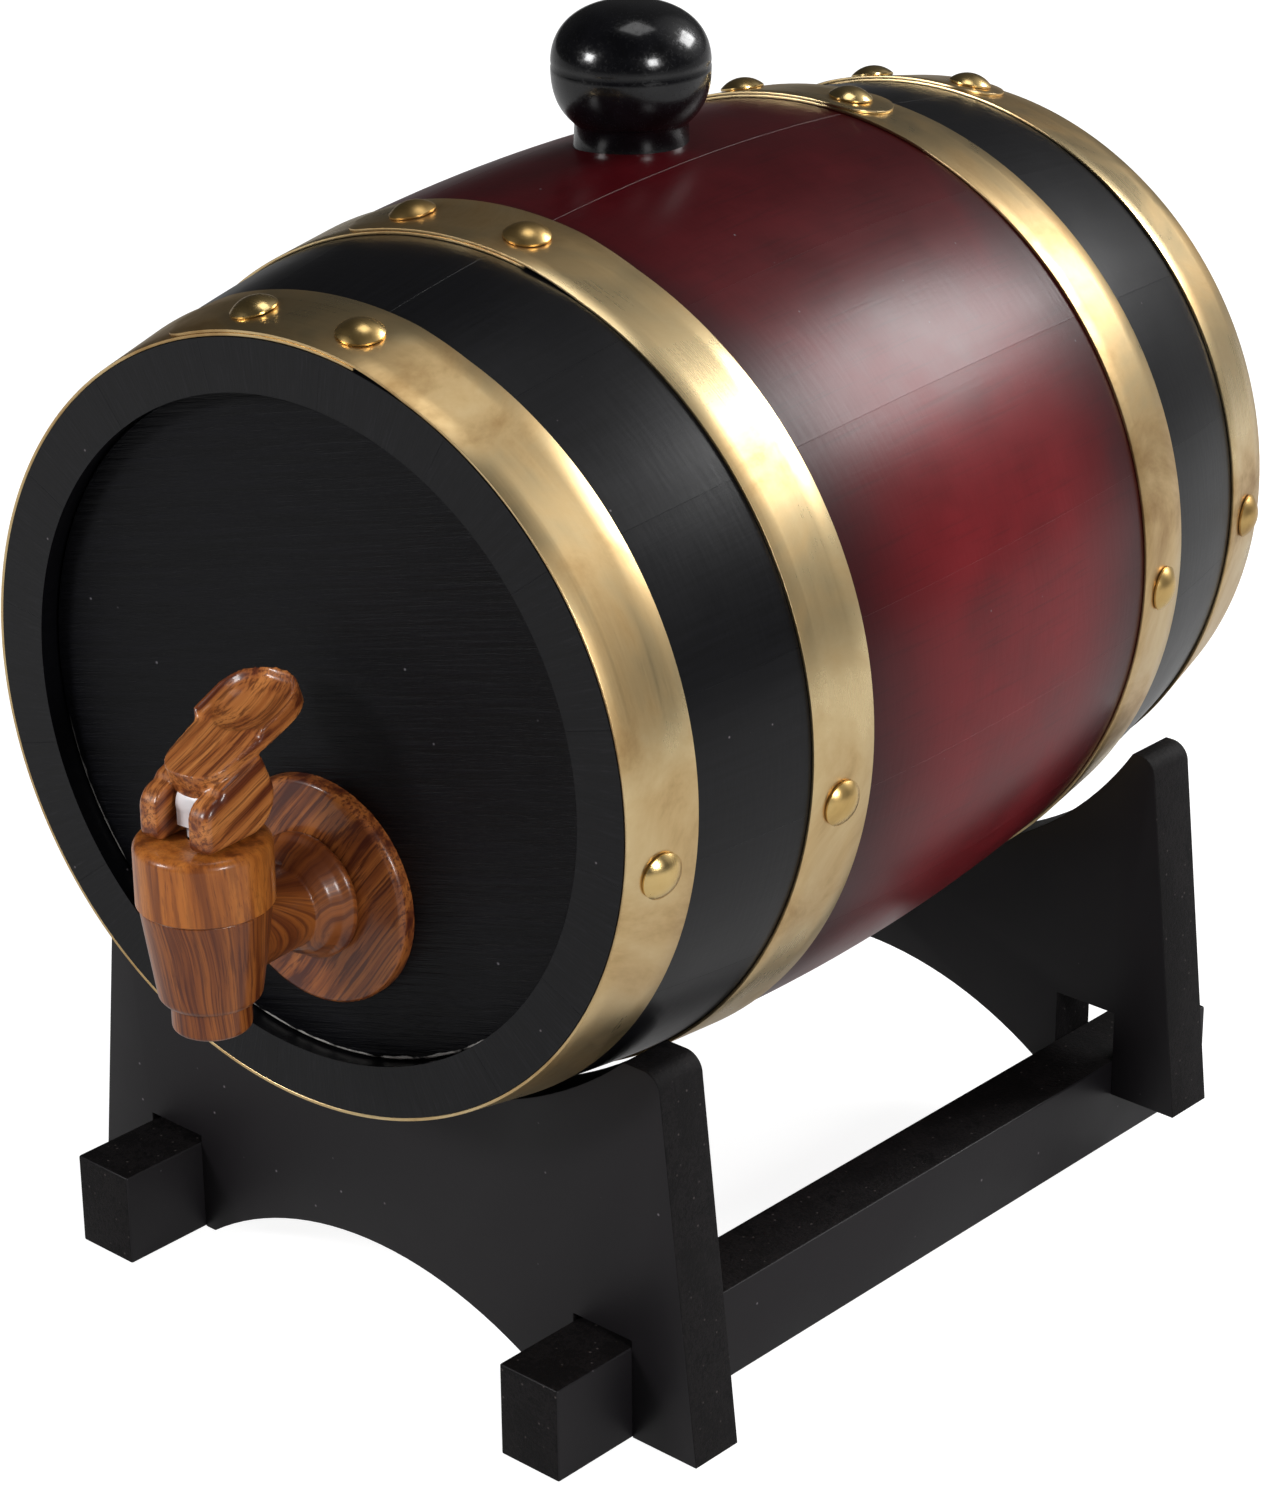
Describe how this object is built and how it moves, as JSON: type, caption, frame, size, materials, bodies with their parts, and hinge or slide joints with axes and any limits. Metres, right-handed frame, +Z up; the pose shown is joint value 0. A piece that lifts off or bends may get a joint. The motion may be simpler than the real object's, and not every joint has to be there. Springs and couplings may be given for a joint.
{
  "type": "cask liquor dispenser",
  "caption": "Small coopered cask lying on a two-board cradle stand, with banded hoops, a knobbed bung on top and a lever tap in the front head.",
  "frame": {"origin": "on the floor, under the middle of the whole object's bounding box", "axes": "+X to the right seen from the tap end, +Y along the cask's axis from the tap to the rear head, +Z up"},
  "size_m": [0.1817, 0.2588, 0.2511],
  "materials": {
    "stand_paint": "satin black paint on fibreboard",
    "stained_staves": "burgundy stain with black ends, satin lacquer",
    "black_heads": "satin black paint on brushed oak",
    "hoop_brass": "rolled brass strip with light tarnish",
    "rivet_brass": "polished brass domes",
    "black_lacquer": "glossy black lacquer",
    "cork": "natural cork",
    "wood_grain_plastic": "glossy plastic with a wood-grain film",
    "brown_plastic": "moulded brown plastic",
    "soft_seal": "soft pale silicone",
    "white_plastic": "white moulded plastic",
    "pin_steel": "plain steel pin"
  },
  "bodies": {
    "stand": {"front_board": "stand_paint", "rear_board": "stand_paint", "left_rail": "stand_paint", "right_rail": "stand_paint"},
    "cask": {"bung_stave": "stained_staves", "stave_02": "stained_staves", "stave_03": "stained_staves", "stave_04": "stained_staves", "stave_05": "stained_staves", "stave_06": "stained_staves", "stave_07": "stained_staves", "stave_08": "stained_staves", "stave_09": "stained_staves", "stave_10": "stained_staves", "stave_11": "stained_staves", "stave_12": "stained_staves", "stave_13": "stained_staves", "stave_14": "stained_staves", "stave_15": "stained_staves", "stave_16": "stained_staves", "front_head": "black_heads", "rear_head": "black_heads", "front_chime_hoop": "hoop_brass", "front_bilge_hoop": "hoop_brass", "rear_bilge_hoop": "hoop_brass", "rear_chime_hoop": "hoop_brass", "front_chime_rivets": "rivet_brass", "front_bilge_rivets": "rivet_brass", "rear_bilge_rivets": "rivet_brass", "rear_chime_rivets": "rivet_brass", "tap_body": "wood_grain_plastic", "tap_bonnet": "wood_grain_plastic", "escutcheon": "wood_grain_plastic", "tail_washer": "soft_seal", "tail_nut": "brown_plastic"},
    "bung": {"bung_knob": "black_lacquer", "bung_stopper": "cork"},
    "stem": {"tap_stem": "white_plastic", "seat_cup": "soft_seal"},
    "lever": {"tap_lever": "wood_grain_plastic", "lever_pin": "pin_steel"}
  },
  "joints": [
    {"name": "cask_lift", "type": "slide", "parent": "stand", "child": "cask", "axis": [0, 0, 1], "range_m": [0, 0.1]},
    {"name": "bung_pull", "type": "slide", "parent": "cask", "child": "bung", "axis": [0, 0, 1], "range_m": [0, 0.04]},
    {"name": "stem_lift", "type": "slide", "parent": "cask", "child": "stem", "axis": [0, 0, 1], "range_m": [0, 0.00191]},
    {"name": "lever_turn", "type": "hinge", "parent": "stem", "child": "lever", "pos_m": [0, -0.11665, 0.1343], "axis": [-1, 0, 0], "range_deg": [0, 25]}
  ],
  "couplings": [
    {"joint": "stem_lift", "follows": "lever_turn", "m_per_rad": 0.0043586}
  ]
}
